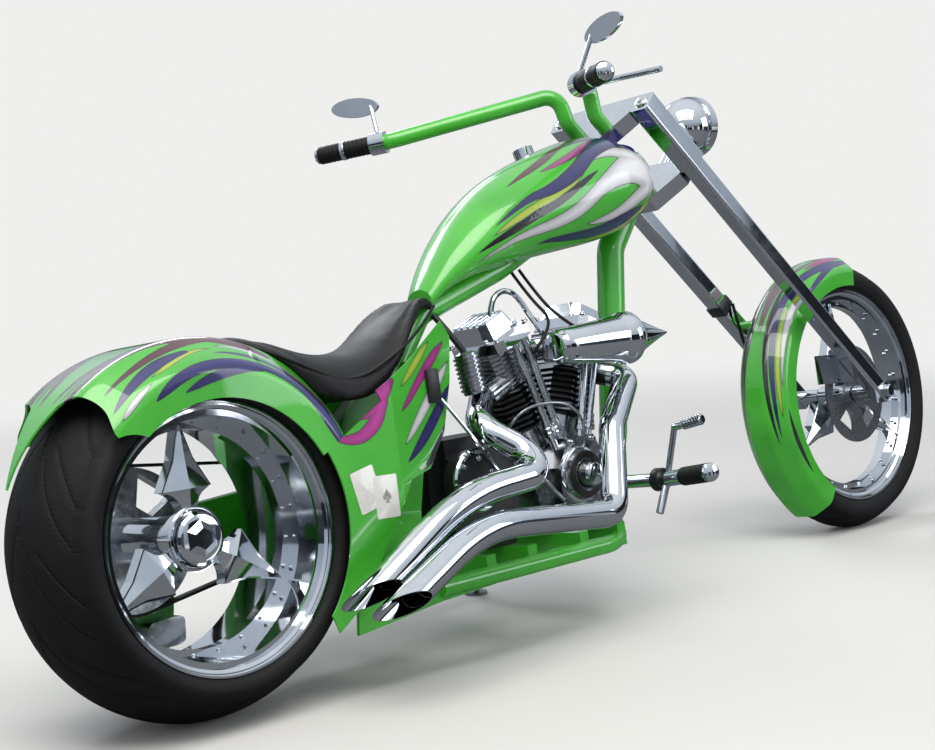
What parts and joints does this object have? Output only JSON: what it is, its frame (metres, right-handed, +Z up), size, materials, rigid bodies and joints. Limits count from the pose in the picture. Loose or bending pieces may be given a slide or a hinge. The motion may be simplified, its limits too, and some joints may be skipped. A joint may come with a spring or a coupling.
{
  "type": "chopper motorcycle",
  "caption": "Long raked custom chopper with a wide rear tyre, a V-twin engine, painted bodywork and steering, wheels and side stand that move",
  "frame": {"origin": "on the ground under the middle of the outline seen from above, with the machine parked on its side stand", "axes": "+X forward, +Y to the left of the rider, +Z up; the machine leans 6.6 degrees to the left about X"},
  "size_m": [2.8195, 0.9534, 1.2798],
  "materials": {
    "lime_paint": "glossy lime green paint",
    "chrome": "polished chrome",
    "steel": "ground steel",
    "aluminium": "polished cast aluminium",
    "black_metal": "satin black enamel on cast iron",
    "tyre": "black road tyre",
    "rubber": "matt black rubber",
    "leather": "satin black leather",
    "glass": "clear lamp glass"
  },
  "bodies": {
    "frame": {"frame_lower_rails": "lime_paint", "frame_backbone": "lime_paint", "frame_front_tube": "lime_paint", "frame_neck": "lime_paint", "swingarm": "lime_paint", "rear_axle": "chrome", "rear_brake_caliper": "black_metal", "rear_fender": "lime_paint", "side_panel_left": "lime_paint", "side_panel_right": "lime_paint", "seat": "leather", "fuel_tank": "lime_paint", "fuel_cap": "chrome", "crankcase": "aluminium", "cylinders": "black_metal", "rocker_boxes": "chrome", "pushrod_tubes": "chrome", "carburettor": "aluminium", "air_cleaner": "chrome", "primary_case": "chrome", "gearbox": "aluminium", "drive_belt": "rubber", "exhaust_pipes": "chrome", "foot_controls_left": "chrome", "foot_controls_right": "chrome"},
    "steering": {"lower_clamp_and_stem": "chrome", "upper_clamp": "chrome", "fork_legs": "chrome", "handlebar": "lime_paint", "grips": "rubber", "hand_controls": "chrome", "mirrors": "chrome", "headlamp_shell": "chrome", "headlamp_lens": "glass", "front_fender": "lime_paint", "front_axle": "chrome", "front_brake_caliper": "black_metal"},
    "front_wheel": {"front_tyre": "tyre", "front_rim": "chrome", "front_brake_disc": "steel"},
    "rear_wheel": {"rear_tyre": "tyre", "rear_rim": "chrome", "rear_hub_cap": "chrome", "rear_pulley": "steel"},
    "side_stand": {"side_stand": "steel"}
  },
  "joints": [
    {"name": "steering", "type": "hinge", "parent": "frame", "child": "steering", "pos_m": [0.27547, -0.01381, 0.98524], "axis": [-0.7278, 0.0788, 0.6813], "range_deg": [-30, 30]},
    {"name": "front_wheel_spin", "type": "hinge", "parent": "steering", "child": "front_wheel", "pos_m": [1.05125, -0.08678, 0.35457], "axis": [0, 0.9934, -0.1149], "continuous": true},
    {"name": "rear_wheel_spin", "type": "hinge", "parent": "frame", "child": "rear_wheel", "pos_m": [-1.07675, -0.08962, 0.33007], "axis": [0, 0.9934, -0.1149], "continuous": true},
    {"name": "side_stand_fold", "type": "hinge", "parent": "frame", "child": "side_stand", "pos_m": [-0.17175, 0.06432, 0.14883], "axis": [0, 0.8348, 0.5505], "range_deg": [0, 100]}
  ]
}
